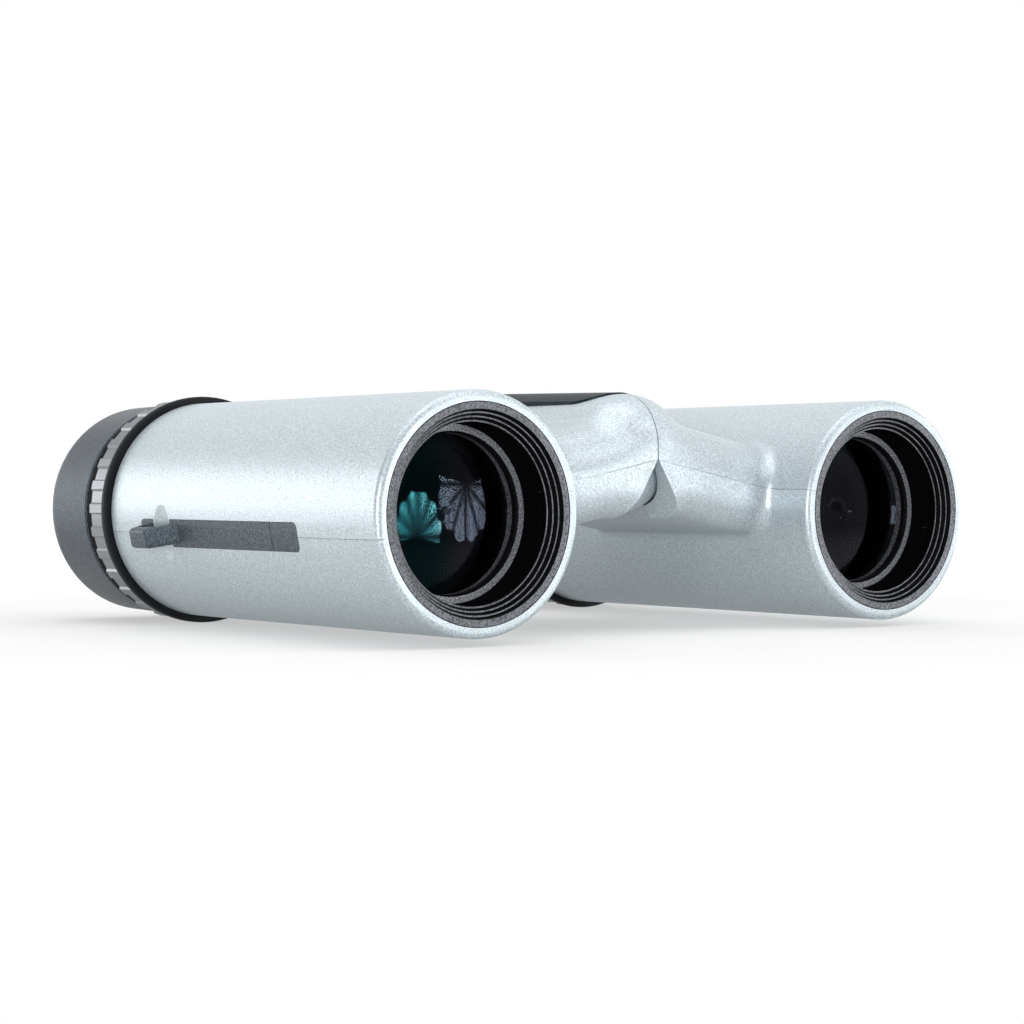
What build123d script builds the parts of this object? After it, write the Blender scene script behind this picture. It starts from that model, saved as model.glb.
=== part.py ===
from build123d import *
from math import asin, atan2, cos, degrees, hypot, radians, sin, sqrt
import os

# Compact roof-prism binoculars. Millimetres, +X to the user's right, +Y forward through the
# objectives, +Z up. Origin under the middle of the whole object, on the surface that it lies on.
# "Depth" is the distance behind the plane of the two front rims.

# Layout of the two barrels and the hinge axis between and above them
axis_spacing = 71.0
pivot_rise = 7.0

# Clearances
fit_gap = 0.05
run_gap = 0.08
clear_gap = 0.3
seam_gap = 0.16
parting_gap = 0.05

# Barrel, moulded as one half of each clamshell
barrel_radius = 15.5
barrel_wall = 1.5
barrel_tail = 6.75
rim_round = 0.8
seat_rib_height = 1.4
seat_rib_width = 1.5

# Bridge: a round hub about the hinge axis, and a flat arm out to the barrel
hub_radius = 9.1
arm_half_height = 6.4
hub_blend = 6.0
bridge_front = 8.0
bridge_length = 38.0
hub_nose_edge = 1.7
arm_nose_edge = 0.2
belly_nose_round = 4.2
tail_round = 2.0
barrel_flare = 2.0
notch_half_angle = 31.0
hollow_half_angle = 46.0
bridge_wall = 1.5
bridge_front_wall = 7.55
hub_wall = 1.6

# Hinge
shaft_radius = 2.5
shoulder_radius = 4.4
shoulder_width = 1.2
plate_thickness = 2.2
plate_gap = 0.3
washer_thickness = 0.5
washer_radius = 5.6
hinge_nut_thickness = 1.6
hinge_nut_radius = 4.6
dome_setback = 1.85
screw_radius = 0.8
screw_head_radius = 1.5
screw_head_height = 0.8
screw_bite = 0.9
screw_reach = 14.0

# Focus drive
focus_travel = 1.5
screw_sleeve_wall = 1.8
nut_neck_wall = 1.2
nut_flange_radius = 6.9
nut_flange_width = 0.8
arm_width = 2.6
arm_half_thickness = 1.5
arm_bite = 0.9
window_margin = 0.4
wheel_radius = 9.4
wheel_length = 11.6
wheel_rib_count = 36
wheel_rib_height = 0.4
wheel_rib_width = 0.8
wheel_end_round = 0.6
wheel_gap = 0.6
cap_radius = 6.6
cap_thickness = 1.0

# Top panel on the hub
panel_half_width = 4.85
panel_front = 16.1
panel_inner_radius = 8.5
panel_front_radius = 9.25
panel_rear_radius = 9.95
panel_rear_setback = 1.2
panel_corner = 1.0

# Objective
objective_setback = 6.1
bezel_face_width = 0.87
bezel_face_drop = 0.05
bezel_step_run = 0.52
bezel_crest_width = 0.2
bezel_step_count = 3
bezel_lip = 0.45
bezel_skirt_wall = 1.0
retainer_width = 1.1
retainer_face_width = 0.85
retainer_cone_length = 0.3
retainer_length = 2.0
retainer_proud = 0.4
lens_edge = 3.0
lens_bulge = 0.8
lens_rear_bulge = 0.36
cell_wall = 1.2
cell_front_wall = 2.57
cell_seat_width = 1.2
cell_tail = 1.2

# Prisms
prism_length = 25.0
cage_end_wall = 1.0
cage_side_wall = 5.95
cage_roof_wall = 5.15
cage_front_stop = 0.4
cage_rear_stop = 1.4
prism_slant = 10.0
penta_top_length = 6.2
penta_corner = 3.0
prism_air_gap = 0.4
roof_drop = 3.2

# Eyepiece
tube_wall = 1.0
tube_flange_width = 2.0
ocular_wall = 1.2
ocular_lip = 0.9
ocular_lip_width = 0.5
ocular_front_gap = 2.6
ocular_rear_gap = 0.4
field_lens_edge = 2.2
eye_lens_edge = 2.4
ocular_bulge = 0.9

# Collar ring, which turns as the diopter ring on the right eyepiece
collar_length = 7.35
collar_flange_proud = 1.0
collar_flange_width = 0.9
collar_base_proud = 0.45
collar_band_shy = 0.1
collar_band_width = 2.35
collar_chamfer = 0.35
collar_rib_count = 30
collar_rib_height = 0.3
collar_rib_base = 1.7
collar_rib_top = 1.2
diopter_travel = 1.0
diopter_pin_radius = 0.8
diopter_groove_depth = 1.5
diopter_pin_reach = 1.2

# Eyecup
eyecup_length = 14.05
eyecup_gap = 0.4
eyecup_proud = 0.02
eyecup_taper = 0.27
eyecup_wall = 2.26
eyecup_round = 3.9
eyecup_edge = 0.3
eyecup_lip = 2.6
eyecup_lip_reach = 2.66
eyecup_rise = 6.0
sleeve_wall = 0.8
sleeve_engagement = 2.5

# Strap bar: a strip inlaid on the parting line that rises into an eye for a cord
strip_front = 18.3
strip_half_width = 1.9
strip_recess = 0.75
strip_corner = 0.9
strip_groove_setback = 6.4
strip_groove_width = 0.15
strip_groove_depth = 0.12
eye_depth = 53.4
eye_length = 4.6
bar_standoff = 4.0
bar_thickness = 1.4
bar_half_width = 1.4
bar_ramp = 2.45
bar_leg = 3.5
bar_front_round = 0.8
bar_rear_round = 0.9
bar_edge_round = 0.6
dish_depth = 0.5

# Depths, one after the other from the front rims to the eyecups
bridge_rear = bridge_front + bridge_length
hub_cavity_front = bridge_front + bridge_front_wall
hub_cavity_rear = bridge_rear - bridge_wall
right_front_plate = hub_cavity_front + clear_gap
hinge_nut_front = right_front_plate - fit_gap - hinge_nut_thickness
left_front_plate = right_front_plate + plate_thickness + plate_gap
washer_front = left_front_plate + plate_thickness + run_gap
shoulder_front = washer_front + washer_thickness + fit_gap
shoulder_rear = shoulder_front + shoulder_width
right_rear_plate = hub_cavity_rear - plate_gap - plate_thickness
left_rear_plate = right_rear_plate - plate_gap - plate_thickness
nut_length = 2 * arm_width + 2 * plate_gap + nut_flange_width
nut_front = (shoulder_rear + left_rear_plate - nut_length) / 2
right_arm_front = nut_front
left_arm_front = right_arm_front + arm_width + plate_gap
nut_flange_front = left_arm_front + arm_width + plate_gap
nut_rear = nut_flange_front + nut_flange_width
bezel_rear = objective_setback - focus_travel - clear_gap
cell_front = objective_setback + retainer_proud
cell_rear = left_arm_front + arm_width + cell_tail
cage_front = cell_rear + focus_travel + clear_gap
cage_rear = cage_front + prism_length
flange_front = cage_rear + fit_gap
flange_rear = flange_front + tube_flange_width
barrel_length = cage_rear + barrel_tail
collar_front = barrel_length + clear_gap
collar_rear = collar_front + collar_length
eyecup_front = collar_rear + eyecup_gap
overall_length = eyecup_front + eyecup_length
tube_rear = eyecup_front + eyecup_rise + sleeve_engagement
wheel_front = bridge_rear + wheel_gap
wheel_rear = wheel_front + wheel_length

# Radii that follow from the fits
bore_radius = barrel_radius - barrel_wall
inset_radius = bore_radius - fit_gap
cell_radius = bore_radius - run_gap
cell_inner = cell_radius - cell_wall
rib_radius = bore_radius - seat_rib_height
bezel_face_radius = inset_radius - bezel_face_width
lens_radius = cell_radius - cell_front_wall - fit_gap
aperture_radius = lens_radius - retainer_width
retainer_face_radius = lens_radius - retainer_face_width
prism_half_width = inset_radius - cage_side_wall
prism_half_height = inset_radius - cage_roof_wall
cage_front_aperture = prism_half_width - cage_front_stop
cage_rear_aperture = prism_half_width - cage_rear_stop
collar_flange_radius = barrel_radius + collar_flange_proud
collar_base_radius = barrel_radius + collar_base_proud
collar_band_radius = barrel_radius - collar_band_shy
eyecup_front_radius = barrel_radius + eyecup_proud
eyecup_rear_radius = eyecup_front_radius - eyecup_taper
eyecup_inner = eyecup_front_radius - eyecup_wall
eyecup_opening = eyecup_inner - eyecup_lip_reach
sleeve_radius = eyecup_inner - run_gap
sleeve_inner = sleeve_radius - sleeve_wall
tube_radius = sleeve_inner - run_gap
tube_inner = tube_radius - tube_wall
ocular_radius = tube_inner - run_gap
ocular_inner = ocular_radius - ocular_wall
hub_nose_round = hub_radius - hub_nose_edge
arm_nose_round = arm_half_height - arm_nose_edge
hub_cavity = hub_radius - hub_wall
plate_radius = hub_cavity - clear_gap
dome_centre = bridge_front + dome_setback + plate_radius
arm_cavity = arm_half_height - bridge_wall
screw_sleeve_inner = shaft_radius + run_gap
screw_sleeve_radius = screw_sleeve_inner + screw_sleeve_wall
nut_inner = screw_sleeve_radius + run_gap
nut_neck = nut_inner + nut_neck_wall

# Where everything stands
reach = hypot(axis_spacing / 2, pivot_rise)
tilt = degrees(atan2(pivot_rise, axis_spacing / 2))
y_front = overall_length / 2
axis_height = collar_flange_radius
pivot_height = axis_height + pivot_rise
far = 4 * reach


def at_depth(depth):
    """Plane across the barrels at a depth, facing the eyepieces, with X right and Y up."""
    return Plane.XZ.offset(depth - y_front)


def slab(front, rear, sketch):
    """A sketch of the front view carried from one depth to another."""
    return extrude(at_depth(front) * sketch, rear - front)


def block(left, right, low, high, front, rear):
    """A box between two places across, two heights and two depths."""
    middle = Pos((left + right) / 2, y_front - (front + rear) / 2, (low + high) / 2)
    return middle * Box(right - left, rear - front, high - low)


def turned(profile, eased=()):
    """A solid turned about the Y axis from (radius, depth) corners; eased rounds some of them."""
    corners = [Vector(radius, y_front - depth) for radius, depth in profile]
    face = make_face(Polyline(*corners, close=True))
    for index, radius in eased:
        face = fillet(face.vertices().sort_by_distance(corners[index])[0], radius)
    return revolve(face, Axis.Y)


def tube(outer, inner, front, rear):
    """A plain tube about the Y axis."""
    return turned([(inner, front), (outer, front), (outer, rear), (inner, rear)])


def rod(radius, front, rear):
    """A plain round bar on the Y axis."""
    return turned([(0, front), (radius, front), (radius, rear), (0, rear)])


def domed(radius, rear):
    """A round bar on the Y axis with a round front end about the centre of the hinge dome."""
    foot = y_front - rear
    shoulder = y_front - dome_centre
    middle = on_circle(radius, 45) + Vector(0, shoulder)
    outline = [
        Line((0, shoulder + radius), (0, foot)),
        Line((0, foot), (radius, foot)),
        Line((radius, foot), (radius, shoulder)),
        ThreePointArc((radius, shoulder), middle, (0, shoulder + radius)),
    ]
    return revolve(make_face(outline), Axis.Y)


def lens(radius, clear, front, edge, front_bulge, rear_bulge):
    """A lens on the Y axis: flat rims outside the clear radius and a round face inside it on each
    side; a negative bulge is a hollow face."""
    top = y_front - front
    bottom = top - edge
    crown = top + front_bulge
    foot = bottom - rear_bulge
    outline = [
        Line((0, crown), (0, foot)),
        ThreePointArc((0, foot), arc_middle(clear, bottom, -rear_bulge), (clear, bottom)),
        Line((clear, bottom), (radius, bottom)),
        Line((radius, bottom), (radius, top)),
        Line((radius, top), (clear, top)),
        ThreePointArc((clear, top), arc_middle(clear, top, front_bulge), (0, crown)),
    ]
    return revolve(make_face(outline), Axis.Y)


def arc_middle(radius, level, bulge):
    """The point half way out on a round cap that rises by bulge over its radius."""
    sphere = (radius ** 2 + bulge ** 2) / (2 * abs(bulge))
    drop = sphere - sqrt(sphere ** 2 - (radius / 2) ** 2)
    return (radius / 2, level + bulge - drop * bulge / abs(bulge))


def on_circle(radius, angle):
    """A point on a circle about the origin, by its angle in degrees."""
    return Vector(radius * cos(radians(angle)), radius * sin(radians(angle)))


def rounding(run, radius):
    """How far a rounded edge stands in from the side at a run behind its end face."""
    if run >= radius:
        return 0.0
    return radius - sqrt(radius ** 2 - (radius - run) ** 2)


# The right half is drawn about the hinge axis, with the parting plane level and the barrel axis at
# X = reach. It is then tilted into place, and the left half is its mirror image.
seam_angle = 90 + tilt
notch_angle = notch_half_angle + tilt - 90
hollow_angle = hollow_half_angle + tilt - 90
on_barrel = Pos(reach, 0, 0)
upright = Rot(0, -tilt, 0)


def placed(shape, side):
    """Tilt a piece of the right half into place, and mirror it for the left."""
    right = Pos(0, 0, pivot_height) * Rot(0, tilt, 0) * shape
    if side == "right":
        return right
    return mirror(right, Plane.YZ)


def bridge_outline(hub_inset, arm_inset, belly_inset):
    """Front view of one half of the bridge: hub sector, hollow blend, and the arm to the barrel. The
    belly has the same hollow blend, up to the notch."""
    hub = hub_radius - hub_inset
    half = arm_half_height - arm_inset
    blend = hub_blend + hub_inset
    leave = degrees(asin((half + blend) / (hub + blend)))
    blend_centre = on_circle(hub + blend, leave)
    seam_top = on_circle(hub, seam_angle)
    hub_middle = on_circle(hub, (seam_angle + leave) / 2)
    hub_end = on_circle(hub, leave)
    blend_middle = blend_centre + on_circle(blend, (leave + 180 + 270) / 2)
    arm_start = Vector(blend_centre.X, half)
    belly_blend = hub_blend + belly_inset
    belly_leave = degrees(asin((arm_half_height + hub_blend) / (hub_radius + hub_blend)))
    belly_centre = on_circle(hub_radius + hub_blend, -belly_leave)
    belly_start = belly_centre + on_circle(belly_blend, 90)
    abreast = belly_centre.dot(on_circle(1, notch_angle))
    aside = sqrt(abreast ** 2 - belly_centre.length ** 2 + belly_blend ** 2)
    notch_foot = on_circle(abreast - aside, notch_angle)
    foot_angle = degrees(atan2(notch_foot.Y - belly_centre.Y, notch_foot.X - belly_centre.X))
    belly_middle = belly_centre + on_circle(belly_blend, (90 + foot_angle) / 2)
    edges = [
        Line((0, 0), seam_top),
        ThreePointArc(seam_top, hub_middle, hub_end),
        ThreePointArc(hub_end, blend_middle, arm_start),
        Line(arm_start, (reach, half)),
        Line((reach, half), (reach, belly_start.Y)),
        Line((reach, belly_start.Y), belly_start),
        ThreePointArc(belly_start, belly_middle, notch_foot),
        Line(notch_foot, (0, 0)),
    ]
    return make_face(edges)


def bridge_section(run, hub_round, arm_round, belly_round):
    """Front view of the bridge half at a run behind an end whose edges are rounded."""
    return bridge_outline(rounding(run, hub_round), rounding(run, arm_round), rounding(run, belly_round))


def bridge_bar():
    """The solid bridge half, round at its nose and eased at its tail."""
    nose_steps = [0, 12, 24, 37, 50, 63, 76, 90]
    nose_runs = [hub_nose_round * (1 - cos(radians(step))) for step in nose_steps]
    nose = [
        at_depth(bridge_front + run) * bridge_section(run, hub_nose_round, arm_nose_round, belly_nose_round)
        for run in nose_runs
    ]
    tail_steps = [0, 30, 60, 90]
    tail_runs = [tail_round * (1 - cos(radians(step))) for step in tail_steps]
    tail = [
        at_depth(bridge_rear - run) * bridge_section(run, tail_round, tail_round, tail_round)
        for run in reversed(tail_runs)
    ]
    middle = slab(bridge_front + hub_nose_round, bridge_rear - tail_round, bridge_outline(0, 0, 0))
    return loft(nose) + middle + loft(tail)


def half_wedge():
    """The sector about the hinge axis that one half keeps to, drawn in by half the seam gap."""
    half_sector = (seam_angle - notch_angle) / 2
    bisector = (seam_angle + notch_angle) / 2
    apex = on_circle(seam_gap / 2 / sin(radians(half_sector)), bisector)
    corners = [
        apex,
        apex + on_circle(far, notch_angle),
        apex + on_circle(2 * far, bisector),
        apex + on_circle(far, seam_angle),
    ]
    return slab(-far, far, make_face(Polyline(*corners, close=True)))


def strip_pocket(grow, floor):
    """The strip's seat in the barrel's outer side, as a rounded bar above a floor radius."""
    front = strip_front - grow
    rear = strip_rear + grow
    plan = Plane.YZ.offset(reach + floor) * Pos(y_front - (front + rear) / 2, 0)
    seat = RectangleRounded(rear - front, 2 * (strip_half_width + grow), strip_corner + grow)
    return extrude(plan * seat, barrel_radius)


strip_rear = eye_depth + eye_length / 2 + bar_leg
arm_depths = {"right": right_arm_front, "left": left_arm_front}
plate_depths = {
    "right": [right_front_plate, right_rear_plate],
    "left": [left_front_plate, left_rear_plate],
}
panel_gaps = {"right": fit_gap, "left": clear_gap}


def panel_plan(grow):
    """Plan view of the top panel, round at the front, reaching up through the hub."""
    half = panel_half_width + grow
    rear = bridge_rear - panel_rear_setback + grow
    nose = Pos(0, y_front - panel_front - panel_half_width) * Circle(half)
    length = rear - panel_front - panel_half_width
    body = Pos(0, y_front - rear + length / 2) * Rectangle(2 * half, length)
    plan = nose + body
    ends = plan.vertices().sort_by(Axis.Y)[:2]
    return extrude(fillet(ends, panel_corner), far)


def half_shells(side):
    """Upper and lower shell of one half: barrel, bridge arm and everything cut into them."""
    barrel = on_barrel * turned(
        [(0, 0), (barrel_radius, 0), (barrel_radius, barrel_length), (0, barrel_length)], [(1, rim_round)]
    )
    body = barrel + bridge_bar()
    body = fillet(flare_edges(body), barrel_flare)
    body &= half_wedge()
    bore = turned(
        [
            (0, 0),
            (bore_radius, 0),
            (bore_radius, flange_rear + fit_gap),
            (rib_radius, flange_rear + fit_gap),
            (rib_radius, flange_rear + fit_gap + seat_rib_width),
            (bore_radius, flange_rear + fit_gap + seat_rib_width),
            (bore_radius, barrel_length),
            (0, barrel_length),
        ]
    )
    body -= on_barrel * bore
    hollow_corners = [(0, 0), on_circle(far, notch_angle - tilt), on_circle(far, hollow_angle)]
    hollow = make_face(Polyline(*hollow_corners, close=True))
    cavity = slab(hub_cavity_front, hub_cavity_rear, hollow)
    cavity += block(0, reach, -arm_cavity, arm_cavity, hub_cavity_front, hub_cavity_rear)
    cavity -= on_barrel * rod(barrel_radius, 0, barrel_length)
    body -= cavity
    body -= domed(hub_cavity, hub_cavity_rear)
    body -= rod(screw_sleeve_radius + clear_gap, hub_cavity_rear - bridge_wall, bridge_rear + bridge_wall)
    arm_front = arm_depths[side]
    margin = focus_travel + window_margin
    window_half = arm_half_thickness + window_margin
    body -= block(
        reach - barrel_radius - bridge_wall,
        reach - bore_radius + bridge_wall,
        -window_half,
        window_half,
        arm_front - margin,
        arm_front + arm_width + margin,
    )
    recess = upright * panel_plan(panel_gaps[side])
    recess -= rod(panel_inner_radius - panel_gaps[side], 0, overall_length)
    body -= recess & upright * block(-far, far, 0, far, 0, bridge_rear + bridge_wall)
    eye_front = eye_depth - eye_length / 2
    eye_rear = eye_depth + eye_length / 2
    seat = strip_pocket(fit_gap, barrel_radius - strip_recess)
    body -= seat - block(0, far, -far, far, eye_front + fit_gap, eye_rear - fit_gap)
    dish_radius = ((eye_length / 2) ** 2 + dish_depth ** 2) / (2 * dish_depth)
    dish_centre = Pos(reach + barrel_radius - dish_depth + dish_radius, y_front - eye_depth, 0)
    body -= dish_centre * Cylinder(dish_radius, 2 * barrel_radius)
    for plate_front in plate_depths[side]:
        screw_place = Pos(screw_reach, y_front - plate_front - plate_thickness / 2, 0)
        body -= screw_place * shell_screw(fit_gap)
    upper = body & block(-far, far, parting_gap / 2, far, -far, far)
    lower = body & block(-far, far, -far, -parting_gap / 2, -far, far)
    return upper, lower


def flare_edges(body):
    """The line where the bridge arm runs into the barrel."""
    found = []
    for edge in body.edges():
        offsets = []
        for place in (0.0, 0.25, 0.5, 0.75, 1.0):
            point = edge.position_at(place)
            offsets.append(abs(hypot(point.X - reach, point.Z) - barrel_radius))
        depth = y_front - edge.center().Y
        inside = bridge_front - clear_gap < depth < bridge_rear + clear_gap and edge.center().X < reach
        if max(offsets) < 1e-3 and inside and edge.length < bridge_length:
            found.append(edge)
    return found


def shell_screw(grow):
    """One countersunk screw up through the lower shell and a hinge plate into the upper shell."""
    head_bottom = -arm_half_height
    head_top = head_bottom + screw_head_height
    tip = arm_cavity + screw_bite
    head_height = head_top - head_bottom + 2 * grow
    shank_height = tip - head_top + grow
    head = Pos(0, 0, (head_top + head_bottom) / 2) * Cylinder(screw_head_radius + grow, head_height)
    shank = Pos(0, 0, head_top + shank_height / 2) * Cylinder(screw_radius + grow, shank_height)
    return head + shank


def hinge_plates(side):
    """Front and rear hinge plate: an eye about the hinge axis and a tongue in the hollow arm."""
    tongue_end = reach - barrel_radius - clear_gap
    half = arm_cavity - fit_gap
    bores = {
        "right": [shaft_radius + fit_gap, screw_sleeve_radius + run_gap],
        "left": [shaft_radius + run_gap, screw_sleeve_radius + run_gap],
    }
    plates = []
    for front, bore in zip(plate_depths[side], bores[side]):
        rear = front + plate_thickness
        plate = domed(plate_radius, rear) & rod(hub_cavity, front, rear)
        plate += block(0, tongue_end, -half, half, front, rear)
        plate -= rod(bore, front, rear)
        plate -= Pos(screw_reach, y_front - (front + rear) / 2, 0) * shell_screw(fit_gap)
        plates.append(plate)
    return Compound(children=plates)


def shell_screws(side):
    """The screws of one half, one through each hinge plate."""
    centres = [depth + plate_thickness / 2 for depth in plate_depths[side]]
    return Compound(children=[Pos(screw_reach, y_front - centre, 0) * shell_screw(0) for centre in centres])


def objective_bezel():
    """Stepped baffle ring, nearly flush with the rim, with a thin skirt behind it."""
    profile = [(inset_radius, 0), (bezel_face_radius, bezel_face_drop)]
    radius = bezel_face_radius
    depth = bezel_face_drop
    for step in range(bezel_step_count):
        depth += bezel_step_run
        radius -= bezel_step_run
        profile.append((radius + bezel_crest_width, depth))
        profile.append((radius, depth))
    skirt_inner = inset_radius - bezel_skirt_wall
    profile.append((radius, depth + bezel_lip))
    profile.append((skirt_inner, depth + bezel_lip))
    profile.append((skirt_inner, bezel_rear))
    profile.append((inset_radius, bezel_rear))
    return turned(profile)


def objective_cell(side):
    """The sliding tube that carries the objective lens, notched for the focus arm."""
    bore = lens_radius + fit_gap
    seat_front = objective_setback + retainer_length + lens_edge + 2 * fit_gap
    seat_rear = seat_front + cell_seat_width
    cell = turned(
        [
            (bore, cell_front),
            (cell_radius, cell_front),
            (cell_radius, cell_rear),
            (cell_inner, cell_rear),
            (cell_inner, seat_rear),
            (aperture_radius, seat_rear),
            (aperture_radius, seat_front),
            (bore, seat_front),
        ]
    )
    front = arm_depths[side] - fit_gap
    rear = arm_depths[side] + arm_width + fit_gap
    half = arm_half_thickness + fit_gap
    notch = block(-far, arm_bite - cell_radius + fit_gap, -half, half, front, rear)
    return on_barrel * (cell - notch)


def objective_retainer():
    """Threaded ring that holds the objective lens, with a flat face and a bevelled bore."""
    front = objective_setback
    rear = front + retainer_length
    return turned(
        [
            (lens_radius, front),
            (retainer_face_radius, front),
            (aperture_radius, front + retainer_cone_length),
            (aperture_radius, rear),
            (lens_radius, rear),
        ]
    )


def objective_lens():
    """Cemented doublet of the objective."""
    front = objective_setback + retainer_length + fit_gap
    return lens(lens_radius, aperture_radius - fit_gap, front, lens_edge, lens_bulge, lens_rear_bulge)


def focus_arm(side):
    """A ring about the focus nut and a flat arm out to the objective cell."""
    front = arm_depths[side]
    rear = front + arm_width
    bore = nut_neck + (fit_gap if side == "right" else run_gap)
    arm_end = reach - cell_radius + arm_bite
    arm = rod(nut_flange_radius, front, rear)
    arm += block(0, arm_end, -arm_half_thickness, arm_half_thickness, front, rear)
    return arm - rod(bore, front, rear)


def focus_nut():
    """Flanged bush on the focus screw that carries both focus arms."""
    return turned(
        [
            (nut_inner, nut_front),
            (nut_neck, nut_front),
            (nut_neck, nut_flange_front),
            (nut_flange_radius, nut_flange_front),
            (nut_flange_radius, nut_rear),
            (nut_inner, nut_rear),
        ]
    )


def prism_pocket():
    """The square hollow of the prism cage."""
    half_width = prism_half_width + fit_gap
    half_height = prism_half_height + fit_gap
    front = cage_front + cage_end_wall
    rear = cage_rear - cage_end_wall
    return block(-half_width, half_width, -half_height, half_height, front, rear)


def prism_cage():
    """Round block with a square hollow for the prisms and a hole at each end."""
    cage = rod(inset_radius, cage_front, cage_rear) - prism_pocket()
    cage -= rod(cage_front_aperture, cage_front, cage_front + cage_end_wall)
    cage -= rod(cage_rear_aperture, cage_rear - cage_end_wall, cage_rear)
    return cage


def side_view(*corners):
    """A prism's side view, from (depth, height) corners, carried across its width."""
    points = [(y_front - depth, height) for depth, height in corners]
    face = Plane.YZ * make_face(Polyline(*points, close=True))
    return extrude(face, prism_half_width, both=True)


def half_penta_prism():
    """The front prism, with its slanted rear face."""
    front = cage_front + cage_end_wall + fit_gap
    high = prism_half_height
    return side_view(
        (front, -high),
        (front, high - penta_corner),
        (front + penta_corner, high),
        (front + penta_top_length, high),
        (front + penta_top_length + prism_slant, -high),
    )


def roof_prism():
    """The rear prism, with a slanted front face and a roof on top."""
    front = cage_front + cage_end_wall + fit_gap + penta_top_length + prism_air_gap
    rear = cage_rear - cage_end_wall - fit_gap
    high = prism_half_height
    prism = side_view((front, high), (front + prism_slant, -high), (rear, -high), (rear, high))
    eave = high - roof_drop
    gable = make_face(
        Polyline(
            (-prism_half_width, -high),
            (prism_half_width, -high),
            (prism_half_width, eave),
            (0, high),
            (-prism_half_width, eave),
            close=True,
        )
    )
    return prism & slab(cage_front, cage_rear, gable)


def pin_depth():
    """Depth of the diopter pin, in the middle of the collar's ribbed band."""
    return collar_front + collar_flange_width + (collar_length - collar_flange_width - collar_band_width) / 2


def cross_pin(radius, low, high):
    """A round pin that stands up from the eyepiece axis, between two heights."""
    return Pos(0, y_front - pin_depth(), (low + high) / 2) * Cylinder(radius, high - low)


def eyepiece_tube(side):
    """Flanged tube held in the barrel's rear end; the right one is slotted for the diopter pin."""
    eyepiece = turned(
        [
            (tube_inner, flange_front),
            (inset_radius, flange_front),
            (inset_radius, flange_rear),
            (tube_radius, flange_rear),
            (tube_radius, tube_rear),
            (tube_inner, tube_rear),
        ]
    )
    if side == "right":
        half = diopter_pin_radius + run_gap
        long_half = diopter_pin_radius + diopter_travel + clear_gap
        front = pin_depth() - long_half
        rear = pin_depth() + long_half
        eyepiece -= block(-half, half, 0, tube_radius + tube_wall, front, rear)
    return on_barrel * eyepiece


ocular_front = flange_rear + ocular_front_gap
ocular_rear = tube_rear - ocular_rear_gap
ocular_hole = ocular_inner - ocular_lip


def ocular_cell(side):
    """Tube of the eyepiece lenses, lipped at both ends; the right one holds the diopter pin."""
    cell = tube(ocular_radius, ocular_inner, ocular_front, ocular_rear)
    cell += tube(ocular_inner, ocular_hole, ocular_front, ocular_front + ocular_lip_width)
    cell += tube(ocular_inner, ocular_hole, ocular_rear - ocular_lip_width, ocular_rear)
    if side == "right":
        cell -= cross_pin(diopter_pin_radius + fit_gap, ocular_inner + fit_gap, ocular_radius + tube_wall)
    return on_barrel * cell


def field_lens():
    """Front lens of the eyepiece."""
    front = ocular_front + ocular_lip_width + fit_gap
    return lens(ocular_inner - fit_gap, ocular_hole, front, field_lens_edge, -ocular_bulge / 2, ocular_bulge)


def eye_lens():
    """Lens nearest the eye."""
    front = ocular_rear - ocular_lip_width - fit_gap - eye_lens_edge
    return lens(ocular_inner - fit_gap, ocular_hole, front, eye_lens_edge, ocular_bulge, -ocular_bulge / 2)


def diopter_pin():
    """Pin from the right ocular cell into the groove of the diopter ring."""
    foot = ocular_inner + ocular_wall / 2
    return on_barrel * cross_pin(diopter_pin_radius, foot, tube_radius + diopter_pin_reach)


def collar_ring(side):
    """Ribbed ring behind the barrel; the right one is grooved inside for the diopter pin."""
    band_front = collar_rear - collar_band_width
    ring = turned(
        [
            (sleeve_inner, collar_front),
            (collar_flange_radius, collar_front),
            (collar_flange_radius, collar_front + collar_flange_width),
            (collar_base_radius, collar_front + collar_flange_width),
            (collar_base_radius, band_front),
            (collar_band_radius, band_front),
            (collar_band_radius, collar_rear),
            (sleeve_inner, collar_rear),
        ],
        [(1, collar_chamfer)],
    )
    foot = collar_base_radius - collar_rib_height
    top = collar_base_radius + collar_rib_height
    rib_shape = Polyline(
        (foot, -collar_rib_base / 2),
        (collar_base_radius, -collar_rib_base / 2),
        (top, -collar_rib_top / 2),
        (top, collar_rib_top / 2),
        (collar_base_radius, collar_rib_base / 2),
        (foot, collar_rib_base / 2),
        close=True,
    )
    rib = slab(collar_front + collar_flange_width / 2, band_front, make_face(rib_shape))
    ring += [Rot(0, 360 * index / collar_rib_count, 0) * rib for index in range(collar_rib_count)]
    if side == "right":
        half = diopter_pin_radius + diopter_travel + clear_gap
        ring -= tube(
            sleeve_inner + diopter_groove_depth, tube_radius, pin_depth() - half, pin_depth() + half
        )
    return on_barrel * ring


def eyecup():
    """Soft cup, slightly tapered, with a round rear edge and an inward lip."""
    lip_front = overall_length - eyecup_lip
    return turned(
        [
            (eyecup_inner, eyecup_front),
            (eyecup_front_radius, eyecup_front),
            (eyecup_rear_radius, overall_length),
            (eyecup_opening, overall_length),
            (eyecup_opening, lip_front),
            (eyecup_inner, lip_front),
        ],
        [(1, eyecup_edge), (2, eyecup_round), (3, eyecup_edge)],
    )


def eyecup_sleeve():
    """Sliding sleeve of the twist-up eyecup, on the eyepiece tube."""
    return tube(sleeve_radius, sleeve_inner, eyecup_front, overall_length - eyecup_lip - clear_gap)


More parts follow.
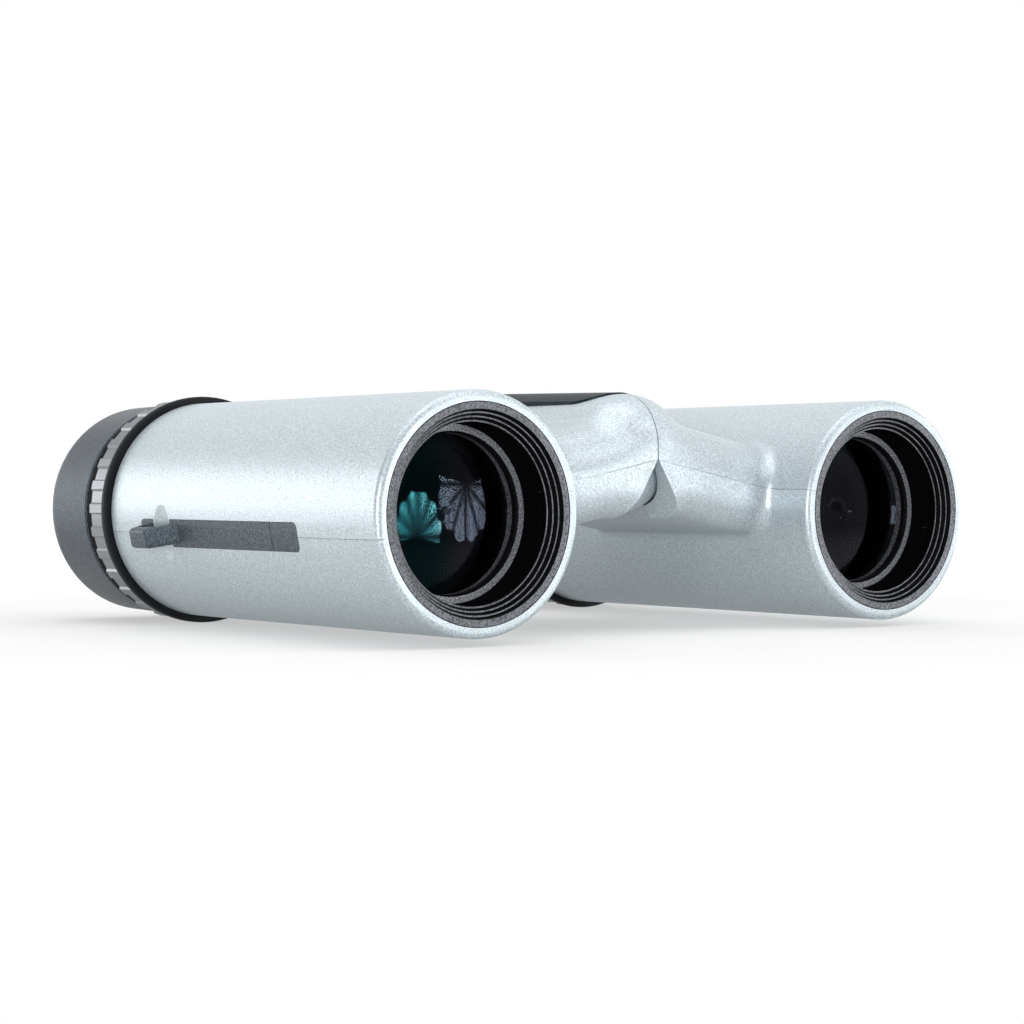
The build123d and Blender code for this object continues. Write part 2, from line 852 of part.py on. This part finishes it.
def strap_bar():
    """Strip inlaid in the barrel's side, with a ramped bar that leaves an eye for a cord."""
    eye_front = eye_depth - eye_length / 2
    eye_rear = eye_depth + eye_length / 2
    foot = barrel_radius - strip_recess + fit_gap
    strip = strip_pocket(0, foot) & on_barrel * rod(barrel_radius, strip_front, strip_rear)
    groove_front = strip_front + strip_groove_setback
    strip -= on_barrel * tube(
        barrel_radius + strip_recess,
        barrel_radius - strip_groove_depth,
        groove_front,
        groove_front + strip_groove_width,
    )
    top = barrel_radius + bar_standoff
    low = foot + strip_recess / 2
    corners = [
        (low, eye_front - bar_ramp),
        (top, eye_front),
        (top, eye_rear),
        (low, eye_rear + bar_ramp),
    ]
    points = [Vector(y_front - depth, radius) for radius, depth in corners]
    arch = make_face(Polyline(*points, close=True))
    for index, radius in ((1, bar_front_round), (2, bar_rear_round)):
        arch = fillet(arch.vertices().sort_by_distance(points[index])[0], radius)
    side_plane = Plane(origin=(reach, 0, 0), x_dir=(0, 1, 0), z_dir=(0, 0, -1))
    bar = extrude(side_plane * arch, bar_half_width, both=True)
    ends = bar.faces().sort_by(Axis.Z)
    rims = ends[0].edges() + ends[-1].edges()
    bar = fillet(rims.filter_by(lambda rim: rim.center().X > reach + barrel_radius), bar_edge_round)
    eye_top = reach + top - bar_thickness
    return (strip + bar) - block(0, eye_top, -far, far, eye_front, eye_rear)


def top_panel():
    """Curved cover plate on the hub, over the seam between the two halves."""
    front = panel_front - panel_half_width
    rear = bridge_rear
    shell = turned(
        [
            (panel_inner_radius, front),
            (panel_front_radius, front),
            (panel_rear_radius, rear),
            (panel_inner_radius, rear),
        ]
    )
    shell &= panel_plan(0)
    return Pos(0, 0, pivot_height) * shell


def hinge_shaft():
    """Pin of the hinge, with a shoulder; the focus wheel turns on its rear end."""
    return turned(
        [
            (0, hinge_nut_front),
            (shaft_radius, hinge_nut_front),
            (shaft_radius, shoulder_front),
            (shoulder_radius, shoulder_front),
            (shoulder_radius, shoulder_rear),
            (shaft_radius, shoulder_rear),
            (shaft_radius, wheel_rear - cap_thickness),
            (0, wheel_rear - cap_thickness),
        ]
    )


def hinge_washer():
    """Spring washer between the left front plate and the shoulder of the shaft."""
    return tube(washer_radius, shaft_radius + fit_gap, washer_front, washer_front + washer_thickness)


def hinge_dome():
    """Round-nosed cap pressed over the hinge nut, in sight in the notch under the hub's front."""
    rear = right_front_plate - fit_gap
    nut_room = rod(hinge_nut_radius + clear_gap, hinge_nut_front - clear_gap, rear)
    return domed(plate_radius, rear) - nut_room


def hinge_nut():
    """Six-sided nut on the front end of the hinge shaft."""
    hexagon = RegularPolygon(hinge_nut_radius, 6)
    nut = slab(hinge_nut_front, hinge_nut_front + hinge_nut_thickness, hexagon)
    return nut - rod(shaft_radius + fit_gap, hinge_nut_front, hub_cavity_rear)


def focus_screw():
    """Threaded sleeve that turns on the hinge shaft, fixed in the focus wheel."""
    front = shoulder_rear + clear_gap
    return tube(screw_sleeve_radius, screw_sleeve_inner, front, wheel_rear - cap_thickness)


def focus_wheel():
    """Ribbed thumb wheel behind the bridge, recessed at the rear for its cap."""
    cap_front = wheel_rear - cap_thickness
    wheel = turned(
        [
            (screw_sleeve_radius + fit_gap, wheel_front),
            (wheel_radius, wheel_front),
            (wheel_radius, wheel_rear),
            (cap_radius + fit_gap, wheel_rear),
            (cap_radius + fit_gap, cap_front),
            (screw_sleeve_radius + fit_gap, cap_front),
        ],
        [(1, wheel_end_round), (2, wheel_end_round)],
    )
    low = wheel_radius - wheel_rib_height
    high = wheel_radius + wheel_rib_height
    half = wheel_rib_width / 2
    rib = block(low, high, -half, half, wheel_front + 2 * wheel_end_round, wheel_rear - 2 * wheel_end_round)
    wheel += [Rot(0, 360 * index / wheel_rib_count, 0) * rib for index in range(wheel_rib_count)]
    return wheel


def focus_wheel_cap():
    """Disc pressed into the rear of the focus wheel, over the end of the shaft."""
    return rod(cap_radius, wheel_rear - cap_thickness + fit_gap, wheel_rear)


parts = {}
for side in ("right", "left"):
    upper, lower = half_shells(side)
    ring_name = "diopter_ring" if side == "right" else "collar_ring"
    pieces = {
        "upper_shell": upper,
        "lower_shell": lower,
        "hinge_plates": hinge_plates(side),
        "shell_screws": shell_screws(side),
        "objective_bezel": on_barrel * objective_bezel(),
        "objective_retainer": on_barrel * objective_retainer(),
        "objective_lens": on_barrel * objective_lens(),
        "objective_cell": objective_cell(side),
        "focus_arm": focus_arm(side),
        "prism_cage": on_barrel * prism_cage(),
        "half_penta_prism": on_barrel * half_penta_prism(),
        "roof_prism": on_barrel * roof_prism(),
        "eyepiece_tube": eyepiece_tube(side),
        "ocular_cell": ocular_cell(side),
        "field_lens": on_barrel * field_lens(),
        "eye_lens": on_barrel * eye_lens(),
        "eyecup_sleeve": on_barrel * eyecup_sleeve(),
        "eyecup": on_barrel * eyecup(),
        "strap_bar": strap_bar(),
        ring_name: collar_ring(side),
    }
    for name, piece in pieces.items():
        parts[f"{side}_{name}"] = placed(piece, side)

parts["diopter_pin"] = placed(diopter_pin(), "right")
parts["top_panel"] = top_panel()
on_pivot = {
    "hinge_shaft": hinge_shaft(),
    "hinge_washer": hinge_washer(),
    "hinge_nut": hinge_nut(),
    "hinge_dome": hinge_dome(),
    "focus_screw": focus_screw(),
    "focus_nut": focus_nut(),
    "focus_wheel": focus_wheel(),
    "focus_wheel_cap": focus_wheel_cap(),
}
for name, piece in on_pivot.items():
    parts[name] = placed(piece, "right")

os.makedirs("parts", exist_ok=True)
for name, piece in parts.items():
    export_step(piece, f"parts/{name}.step")
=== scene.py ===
import math

import bpy
import numpy as np
from mathutils import Matrix, Vector


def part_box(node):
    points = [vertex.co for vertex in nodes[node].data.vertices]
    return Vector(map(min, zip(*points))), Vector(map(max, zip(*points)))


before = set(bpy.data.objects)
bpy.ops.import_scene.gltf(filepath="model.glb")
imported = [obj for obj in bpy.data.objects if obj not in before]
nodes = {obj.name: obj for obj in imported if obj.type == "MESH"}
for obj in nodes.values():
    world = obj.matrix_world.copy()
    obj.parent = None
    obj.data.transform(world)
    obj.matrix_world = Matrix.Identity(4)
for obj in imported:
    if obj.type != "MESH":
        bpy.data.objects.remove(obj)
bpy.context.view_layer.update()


# Shells: each half of the body is an upper and a lower moulding, with the bridge arm in one piece
# with the barrel, parted on the plane of the barrel's axis. They are sprayed with satin paint,
# silver-white with fine metal flake, and blackened in the bore.
def new_finish(name, color, roughness, metallic=0.0):
    """A material of one Principled shader, with its flat values on the shader's own sockets."""
    finish = bpy.data.materials.new(name)
    finish.use_nodes = True
    shader = finish.node_tree.nodes["Principled BSDF"]
    shader.inputs["Base Color"].default_value = (*color, 1)
    shader.inputs["Roughness"].default_value = roughness
    shader.inputs["Metallic"].default_value = metallic
    return finish, shader


def add_node(tree, kind, feeds, **settings):
    """A node of one kind: feeds give its sockets, by name or place, a value or another node's
    output, and settings are the node's own properties."""
    node = tree.nodes.new(kind)
    for key, setting in settings.items():
        setattr(node, key, setting)
    for key, feed in feeds.items():
        if isinstance(feed, bpy.types.NodeSocket):
            tree.links.new(feed, node.inputs[key])
        else:
            node.inputs[key].default_value = feed
    return node


def frame_place(tree):
    """Where a point of the surface is in the shared frame."""
    return tree.nodes.new("ShaderNodeTexCoord").outputs["Object"]


def grain(finish, scale, detail=2.0):
    """Fine noise over the shared frame, as a value from 0 to 1."""
    tree = finish.node_tree
    noise = add_node(tree, "ShaderNodeTexNoise",
                     {"Vector": frame_place(tree), "Scale": scale, "Detail": detail})
    return noise.outputs["Fac"]


def ramp(finish, value, stops, step=False):
    """A colour or level by a value: stops are (position, level or colour); step holds each stop."""
    node = add_node(finish.node_tree, "ShaderNodeValToRGB", {"Fac": value})
    band = node.color_ramp
    band.interpolation = "CONSTANT" if step else "LINEAR"
    while len(band.elements) < len(stops):
        band.elements.new(1.0)
    for element, (position, level) in zip(band.elements, stops):
        element.position = position
        element.color = (*(level if isinstance(level, tuple) else (level,) * 3), 1)
    return node.outputs["Color"]


def drive(finish, shader, socket, value):
    """Let a value drive one socket of the shader."""
    finish.node_tree.links.new(value, shader.inputs[socket])


def roughen(finish, shader, value, height):
    """Bump of a real height in metres, from a value between 0 and 1."""
    bump = add_node(finish.node_tree, "ShaderNodeBump", {"Distance": height, "Height": value})
    drive(finish, shader, "Normal", bump.outputs["Normal"])


def blend(finish, operation, first, second):
    """Two colours joined channel by channel."""
    node = add_node(finish.node_tree, "ShaderNodeVectorMath", {0: first, 1: second},
                    operation=operation)
    return node.outputs["Vector"]


def outside_bore(finish, low, high, margin=0.00015):
    """1 outside a barrel's bore and 0 inside it: the distance from the barrel's axis, with the left
    barrel folded on to the right one, against half the width of a box in the bore plus a margin."""
    tree = finish.node_tree
    axis = ((low[0] + high[0]) / 2, 0, (low[2] + high[2]) / 2)
    place = frame_place(tree)
    for operation, amount in (("ABSOLUTE", (0, 0, 0)), ("MULTIPLY", (1, 0, 1))):
        place = add_node(tree, "ShaderNodeVectorMath", {0: place, 1: amount},
                         operation=operation).outputs["Vector"]
    away = add_node(tree, "ShaderNodeVectorMath", {0: place, 1: axis}, operation="DISTANCE")
    limit = (high[0] - low[0]) / 2 + margin
    return add_node(tree, "ShaderNodeMath", {0: away.outputs["Value"], 1: limit},
                    operation="GREATER_THAN").outputs["Value"]


def coat(finish, *names):
    """Give the named CAD nodes one finish."""
    for name in names:
        mesh = nodes[name].data
        mesh.materials.clear()
        mesh.materials.append(finish)


def both(*pieces):
    """The right and the left node of each piece."""
    return [f"{side}_{piece}" for piece in pieces for side in ("right", "left")]


silver_metallic = 0.45
flake_height = 0.00001
silver, silver_shader = new_finish("silver_paint", (0.53, 0.6, 0.64), 0.4, silver_metallic)
flake = grain(silver, 5200, detail=1.0)
flake_color = ramp(silver, flake, [(0.3, (0.37, 0.43, 0.465)), (0.7, (0.68, 0.76, 0.8))])
painted = outside_bore(silver, *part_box("right_objective_cell"))
drive(silver, silver_shader, "Base Color",
      blend(silver, "MULTIPLY", flake_color, ramp(silver, painted, [(0, 0.006), (1, 1.0)])))
drive(silver, silver_shader, "Metallic", ramp(silver, painted, [(0, 0.0), (1, silver_metallic)]))
drive(silver, silver_shader, "Specular IOR Level", ramp(silver, painted, [(0, 0.05), (1, 0.5)]))
roughen(silver, silver_shader, flake, flake_height)
coat(silver, *both("upper_shell", "lower_shell"))


# Hinge: a turned steel shaft with a shoulder, a nut and a spring washer. Black anodised plates turn
# on it, screwed between the shells, and a painted dome covers the nut.
def uneven(finish, shader, scale, low, high):
    """Roughness that wanders between two levels with fine noise."""
    drive(finish, shader, "Roughness",
          ramp(finish, grain(finish, scale), [(0.3, low), (0.7, high)]))


steel, steel_shader = new_finish("turned_steel", (0.55, 0.55, 0.56), 0.3, metallic=1.0)
uneven(steel, steel_shader, 900, 0.22, 0.4)
coat(steel, "hinge_shaft", "hinge_washer", "hinge_nut", *both("shell_screws"))
anodised, anodised_shader = new_finish("black_anodised", (0.02, 0.02, 0.022), 0.45, metallic=0.6)
uneven(anodised, anodised_shader, 2500, 0.35, 0.55)
coat(anodised, *both("hinge_plates"))
coat(silver, "hinge_dome")


# Focus drive: a brass screw turns on the hinge shaft and draws a brass nut, which carries both
# focus arms. A ribbed wheel of black anodised aluminium with a capped end turns the screw.
def shine(shader, level, tint=(1.0, 1.0, 1.0)):
    """How strongly a surface that isn't metal mirrors its surroundings, and in what colour."""
    shader.inputs["Specular IOR Level"].default_value = level
    shader.inputs["Specular Tint"].default_value = (*tint, 1)


brass, brass_shader = new_finish("turned_brass", (0.65, 0.5, 0.22), 0.3, metallic=1.0)
uneven(brass, brass_shader, 1200, 0.2, 0.38)
coat(brass, "focus_screw", "focus_nut")
coat(anodised, "focus_wheel", *both("focus_arm"))
panel, panel_shader = new_finish("panel_black", (0.012, 0.02, 0.024), 0.45)
shine(panel_shader, 0.12, (0.7, 0.92, 1.0))
uneven(panel, panel_shader, 3000, 0.38, 0.52)
coat(panel, "focus_wheel_cap")


# Objective: a ridged baffle ring of charcoal plastic behind the rim, grained on its front faces,
# with painted shade that makes its walls black. A coated lens sits deep in a black plastic cell,
# held by a ring with a grained face and the same painted shade on its walls.
def ease(width, *names):
    """Break the sharp edges of CAD nodes by a small width in metres."""
    for name in names:
        bevel = nodes[name].modifiers.new("eased_edges", "BEVEL")
        bevel.width = width
        bevel.segments = 2
        bevel.limit_method = "ANGLE"
        bevel.angle_limit = math.radians(40)


def along(finish, axis, start, end):
    """A value that runs from 0 to 1 between two places on one axis of the shared frame."""
    tree = finish.node_tree
    split = add_node(tree, "ShaderNodeSeparateXYZ", {"Vector": frame_place(tree)})
    run = add_node(tree, "ShaderNodeMapRange",
                   {"Value": split.outputs[axis], "From Min": start, "From Max": end})
    return run.outputs["Result"]


def facing_front(finish):
    """How far the surface faces forward: 1 on a front face, 0 on a wall along the barrel."""
    tree = finish.node_tree
    normal = tree.nodes.new("ShaderNodeNewGeometry").outputs["Normal"]
    return add_node(tree, "ShaderNodeSeparateXYZ", {"Vector": normal}).outputs["Y"]


def pebbled(finish, shader, low, high, height=0.00003):
    """Grain of two colours and a real height, for moulded plastic; returns the colour."""
    pebble = grain(finish, 4500, detail=1.5)
    roughen(finish, shader, pebble, height)
    return ramp(finish, pebble, [(0.35, low), (0.65, high)])


def grained_front_shaded_walls(name, low, high, bore=None):
    """Grained on the front faces, and black with little shine on the walls by painted shade.
    The rear part of a bore is faintly grained too, where its rear and front ends are given."""
    wall, face = 0.66, 0.86
    finish, shader = new_finish(name, (0.03, 0.033, 0.037), 0.5)
    front = facing_front(finish)
    # Painted shade: the colour darkens to black where the surface turns from a front face to a
    # wall.
    level = ramp(finish, front, [(wall, 0.02), (face, 1.0)])
    if bore is not None:
        rear_part = ramp(finish, along(finish, "Y", *bore), [(0, 0.35), (0.45, 0.02)], step=True)
        level = blend(finish, "MAXIMUM", level, rear_part)
    color = pebbled(finish, shader, low, high)
    drive(finish, shader, "Base Color", blend(finish, "MULTIPLY", color, level))
    # Painted shade: the walls also lose their shine, by the same facing.
    drive(finish, shader, "Specular IOR Level", ramp(finish, front, [(wall, 0.03), (face, 0.6)]))
    return finish


# Painted shade blackens the baffle's walls between its ridges; the grain colours are its own.
baffle = grained_front_shaded_walls("baffle_grain_wall_shade", (0.03, 0.033, 0.039), (0.17, 0.185, 0.21))
coat(baffle, *both("objective_bezel"))
# Painted shade blackens the ring's walls, all but the rear part of its bore.
ring_low, ring_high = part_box("right_objective_retainer")
ring = grained_front_shaded_walls("ring_grain_wall_shade", (0.06, 0.065, 0.075), (0.4, 0.42, 0.46),
                     bore=(ring_low[1], ring_high[1]))
coat(ring, *both("objective_retainer"))
ease(0.00007, *both("objective_bezel", "objective_retainer"))
matt, matt_shader = new_finish("matt_black", (0.003, 0.003, 0.004), 0.7)
shine(matt_shader, 0.05)
uneven(matt, matt_shader, 3000, 0.6, 0.8)
coat(matt, *both("objective_cell"))
violet_reflection_tint, teal_reflection_tint = (0.42, 0.39, 0.55), (0.0, 0.24, 0.3)
glass, glass_shader = new_finish("coated_glass", (0.5, 0.62, 0.62), 0.0)
glass_shader.inputs["Transmission Weight"].default_value = 1.0
glass_shader.inputs["IOR"].default_value = 1.33
# Painted reflection colour: the reflections are tinted by place, teal on the outer side of the
# right lens and violet elsewhere, in place of a coating whose colour changes with the angle.
drive(glass, glass_shader, "Specular Tint",
      ramp(glass, along(glass, "X", 0.033, 0.037), [(0, violet_reflection_tint), (1, teal_reflection_tint)]))
coat(glass, *both("objective_lens"))


# Prisms: two blocks of glass in a black cage, behind the objective. Their slanted faces pass almost
# no light to the front, and that darkness is painted shade: they are opaque, nearly black glass.
# Painted shade: clear glass given an opaque, nearly black colour for the darkness inside.
prism, prism_shader = new_finish("prism_glass", (0.004, 0.005, 0.006), 0.04)
shine(prism_shader, 0.06)
uneven(prism, prism_shader, 600, 0.03, 0.06)
coat(prism, *both("half_penta_prism", "roof_prism"))
coat(matt, *both("prism_cage"))


# Eyepiece: an anodised flanged tube in the barrel's rear end, with two coated lenses in a sliding
# cell. A steel pin carries the diopter ring's motion to the right cell.
coat(anodised, *both("eyepiece_tube", "ocular_cell"))
coat(glass, *both("field_lens", "eye_lens"))
coat(steel, "diopter_pin")


# Collars: a ring behind each barrel, metal-bright between two black bands, with ribs for the
# fingertips. The right one turns as the diopter ring.
collars = ("right_diopter_ring", "left_collar_ring")
collar_low, collar_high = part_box(collars[0])
band_ends = (0, 0.315, 0.875)
collar, collar_shader = new_finish("gloss_black", (0.012, 0.013, 0.015), 0.18)
forward = along(collar, "Y", collar_low[1], collar_high[1])
for socket, levels in (
    ("Roughness", (0.6, 0.4, 0.55)),
    ("Specular IOR Level", (0.05, 0.5, 0.2)),
    ("Metallic", (0.0, 1.0, 0.0)),
    ("Base Color", ((0.004, 0.005, 0.006), (0.24, 0.255, 0.27), (0.008, 0.01, 0.012))),
):
    drive(collar, collar_shader, socket,
          ramp(collar, forward, list(zip(band_ends, levels)), step=True))
coat(collar, *collars)
ease(0.0001, *collars)


# Eyecups: soft charcoal cups with a rolled rear edge and a fine speckle, each on an anodised sleeve
# that slides on the eyepiece tube.
coat(anodised, *both("eyecup_sleeve"))
speckle_height = 0.00008
rubber, rubber_shader = new_finish("eyecup_rubber", (0.02, 0.025, 0.03), 0.38)
speckle = grain(rubber, 5000, detail=1.5)
drive(rubber, rubber_shader, "Base Color",
      ramp(rubber, speckle, [(0.35, (0.006, 0.008, 0.011)), (0.7, (0.085, 0.107, 0.13))]))
shine(rubber_shader, 0.45, (0.74, 0.9, 1.0))
roughen(rubber, rubber_shader, speckle, speckle_height)
coat(rubber, *both("eyecup"))


# Strap bars: a strip of pebbled charcoal plastic, inlaid in each barrel's outer side, that rises
# into an eye for a cord.
plastic, plastic_shader = new_finish("charcoal_plastic", (0.03, 0.033, 0.037), 0.45)
drive(plastic, plastic_shader, "Base Color",
      pebbled(plastic, plastic_shader, (0.001, 0.002, 0.003), (0.1, 0.125, 0.15)))
shine(plastic_shader, 0.6, (0.78, 0.92, 1.0))
coat(plastic, *both("strap_bar"))
ease(0.0001, *both("strap_bar"))


# Top panel: a satin black cover plate, like the wheel's cap, fixed on the hub over the seam between
# the two halves. It is bare.
coat(panel, "top_panel")
ease(0.0002, "top_panel")


# Studio: a pale floor that turns plain white away from the object and ends softly in front of it,
# and a surround that is white behind the object and dim in front of it.
scene = bpy.context.scene


def stand(name, mesh):
    """Put a mesh into the scene as a new object, linked to the scene's own collection."""
    piece = bpy.data.objects.new(name, mesh)
    scene.collection.objects.link(piece)


def bare_material(name, mesh):
    """A material with no shader yet, on a mesh; returns it and the socket for its surface."""
    material = bpy.data.materials.new(name)
    material.use_nodes = True
    tree = material.node_tree
    tree.nodes.remove(tree.nodes["Principled BSDF"])
    mesh.materials.append(material)
    return material, tree.nodes["Material Output"].inputs["Surface"]


floor_reach = 6.0
floor_front, floor_front_fade = 0.16, 0.075
floor_white = {"From Min": 0.1, "From Max": 0.4, "To Min": 0.45, "To Max": 1.0}
floor_mesh = bpy.data.meshes.new("studio_floor")
floor_mesh.from_pydata(
    [(-floor_reach, -floor_reach, 0), (floor_reach, -floor_reach, 0),
     (floor_reach, floor_front, 0), (-floor_reach, floor_front, 0)], [], [(0, 1, 2, 3)])
stand("studio_floor", floor_mesh)
floor_paint, floor_surface = bare_material("studio_floor", floor_mesh)
tree = floor_paint.node_tree
away = add_node(tree, "ShaderNodeVectorMath", {0: frame_place(tree)}, operation="LENGTH")
white = add_node(tree, "ShaderNodeMapRange", {"Value": away.outputs["Value"], **floor_white})
ray = tree.nodes.new("ShaderNodeLightPath")
seen = ray.outputs["Is Camera Ray"]
for kind in ("Is Glossy Ray", "Is Transmission Ray"):
    seen = add_node(tree, "ShaderNodeMath", {0: seen, 1: ray.outputs[kind]},
                    operation="ADD", use_clamp=True).outputs["Value"]
shown = add_node(tree, "ShaderNodeMath", {0: white.outputs["Result"], 1: seen},
                 operation="MULTIPLY")
diffuse = add_node(tree, "ShaderNodeBsdfDiffuse", {"Color": (0.45, 0.45, 0.45, 1)})
glow = add_node(tree, "ShaderNodeEmission", {"Strength": shown.outputs["Value"]})
total = add_node(tree, "ShaderNodeAddShader", {0: diffuse.outputs[0], 1: glow.outputs[0]})
clear = tree.nodes.new("ShaderNodeBsdfTransparent")
ends = add_node(tree, "ShaderNodeMixShader", {
    "Fac": along(floor_paint, "Y", floor_front_fade, floor_front),
    1: total.outputs[0], 2: clear.outputs[0]})
tree.links.new(ends.outputs[0], floor_surface)

behind = (-0.6, -0.8, 0)
surround_white = {"From Min": -0.2, "From Max": 0.55, "To Min": 0.3, "To Max": 1.0}
world = bpy.data.worlds.new("studio")
scene.world = world
world.use_nodes = True
tree = world.node_tree
direction = tree.nodes.new("ShaderNodeTexCoord").outputs["Generated"]
facing = add_node(tree, "ShaderNodeVectorMath", {0: direction, 1: behind}, operation="DOT_PRODUCT")
level = add_node(tree, "ShaderNodeMapRange", {"Value": facing.outputs["Value"], **surround_white})
backdrop = tree.nodes["Background"]
backdrop.inputs["Color"].default_value = (1, 1, 1, 1)
tree.links.new(level.outputs["Result"], backdrop.inputs["Strength"])


# Lamps: soft boxes, named for where the camera has them: behind on the left, above, in front, on
# the right and near the camera. A white ribbed umbrella low in front shows in the lenses.
def softbox(name, place, size, power, target=(0, 0, 0.0165)):
    """A rectangular area lamp that faces a target, which is the middle of the object."""
    lamp = bpy.data.lights.new(name, "AREA")
    lamp.shape = "RECTANGLE"
    lamp.size, lamp.size_y = size
    lamp.energy = power
    holder = bpy.data.objects.new(name, lamp)
    holder.location = place
    aim = Vector(target) - Vector(place)
    holder.rotation_euler = aim.to_track_quat("-Z", "Y").to_euler()
    scene.collection.objects.link(holder)


softbox("left_softbox", (0.48, -0.62, 0.1), (0.6, 0.4), 1.75)
softbox("top_softbox", (0.1, 0.1, 0.9), (0.9, 0.9), 4.6)
softbox("front_softbox", (-0.5, 0.75, 0.75), (0.8, 0.6), 2.6)
softbox("right_softbox", (-1.0, 0.46, 0.06), (0.4, 0.4), 3.5)
softbox("near_softbox", (0.72, 0.6, 0.1), (0.4, 0.3), 4.2)


def umbrella(name, place, half_width, height, strength, rib_count=6):
    """The upper half of a shallow dish that faces the object: a point lies at an angle and a
    distance out from the foot, set back most at the foot and less by the square of the distance,
    and drawn in at each rib. The glow falls to nothing along each rib and toward the foot."""
    rings, turns = 24, 160
    drawn_in, depth, falloff = 0.1, 0.2, 1.4
    out = np.linspace(0.02, 1, rings)[:, None]
    angle = np.linspace(-0.05, 1.05, turns)[None, :] * math.pi
    panel_glow = np.abs(np.sin(angle * rib_count)) ** falloff
    back = np.array(place) / np.linalg.norm(place)
    across = np.cross((0, 0, 1), back)
    across /= np.linalg.norm(across)
    rise = np.cross(back, across)
    spread = out * (1 - drawn_in + drawn_in * panel_glow)
    sweep = (half_width * np.cos(angle)[..., None] * across
             + height * np.sin(angle)[..., None] * rise)
    set_back = depth * height * (1 - out[..., None] ** 2) * back
    points = np.array(place) + spread[..., None] * sweep + set_back
    ring = np.arange(rings - 1)[:, None] * turns
    turn = np.arange(turns - 1)[None, :]
    corners = np.stack([ring + turn, ring + turn + 1, ring + turns + turn + 1, ring + turns + turn],
                       axis=-1)
    mesh = bpy.data.meshes.new(name)
    mesh.from_pydata(points.reshape(-1, 3).tolist(), [], corners.reshape(-1, 4).tolist())
    layer = mesh.attributes.new("glow", "FLOAT", "POINT")
    layer.data.foreach_set("value", (panel_glow * out ** falloff).astype(np.float32).ravel())
    stand(name, mesh)
    cloth, cloth_surface = bare_material(name, mesh)
    tree = cloth.node_tree
    read = tree.nodes.new("ShaderNodeAttribute")
    read.attribute_name = "glow"
    scale = add_node(tree, "ShaderNodeMapRange", {"Value": read.outputs["Fac"], "To Max": strength})
    light = add_node(tree, "ShaderNodeEmission", {"Strength": scale.outputs["Result"]})
    tree.links.new(light.outputs[0], cloth_surface)


umbrella("front_umbrella", (-0.46, 1.01, -0.095), half_width=0.135, height=0.2, strength=56.0)


# Camera: where the photograph was taken from, low and close, in front on the object's right. Its
# focal length is in pixels of a picture 1024 wide.
picture_width, focal_length = 1024, 2420.505
camera_data = bpy.data.cameras.new("camera")
camera_data.sensor_width = 36
camera_data.lens = focal_length / picture_width * camera_data.sensor_width
camera_data.clip_start = 0.01
camera = bpy.data.objects.new("camera", camera_data)
camera_place = (0.2118897, 0.2867520, 0.0204358)
right = Vector((-0.800181, 0.599759, -0.000485))
up = Vector((-0.007701, -0.009466, 0.999926))
back = Vector((0.59971, 0.800125, 0.012193))
turn = Matrix((right, up, back)).transposed().to_4x4()
camera.matrix_world = Matrix.Translation(camera_place) @ turn
scene.collection.objects.link(camera)
scene.camera = camera
scene.view_settings.view_transform = "Standard"
